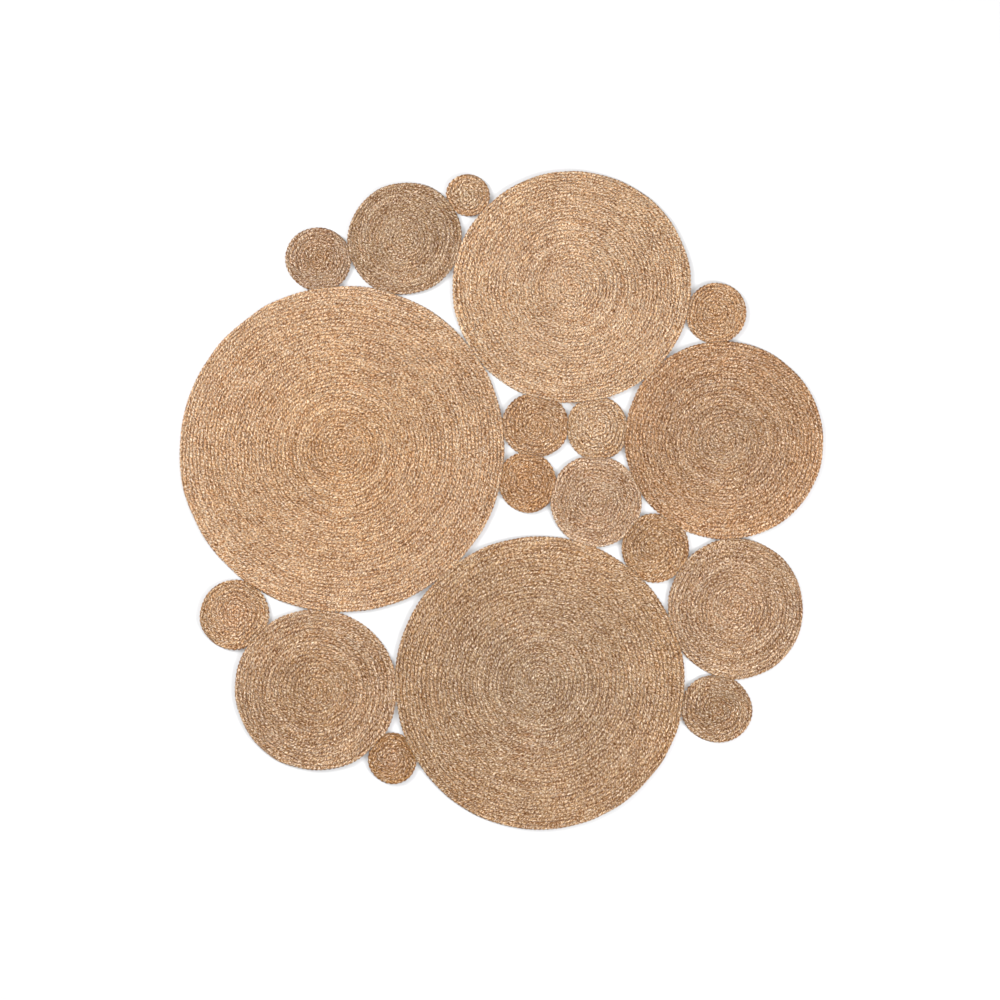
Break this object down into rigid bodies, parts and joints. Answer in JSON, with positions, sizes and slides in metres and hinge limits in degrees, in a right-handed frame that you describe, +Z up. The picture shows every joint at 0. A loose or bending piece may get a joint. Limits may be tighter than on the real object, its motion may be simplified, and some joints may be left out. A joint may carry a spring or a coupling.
{
  "type": "round jute rug",
  "caption": "Flat floor rug of round coils of plaited jute in many sizes, laid edge to edge and sewn where they meet, with open gaps between them.",
  "frame": {"origin": "on the floor, at the middle of the rug's bounding box", "axes": "+Z up from the floor, +Y towards the top of the rug as it is seen from above, +X to its right"},
  "size_m": [1.4641, 1.4978, 0.009],
  "materials": {
    "jute_pale_gold": "undyed plaited jute, matte",
    "jute_honey": "undyed plaited jute, matte",
    "jute_tan": "undyed plaited jute, matte",
    "jute_greyed": "undyed plaited jute, matte",
    "jute_brown": "undyed plaited jute, matte"
  },
  "bodies": {
    "root": {"coil_west": "jute_pale_gold", "coil_south": "jute_greyed", "coil_north": "jute_pale_gold", "coil_east": "jute_honey", "coil_southwest": "jute_tan", "coil_southeast": "jute_honey", "coil_northwest": "jute_greyed", "coil_centre": "jute_honey", "small_west": "jute_honey", "small_southeast": "jute_brown", "small_inner_east": "jute_tan", "small_inner_northwest": "jute_tan", "small_northwest": "jute_greyed", "small_inner_northeast": "jute_pale_gold", "small_northeast": "jute_honey", "small_inner_west": "jute_tan", "small_south": "jute_brown", "small_north": "jute_honey"}
  },
  "joints": []
}
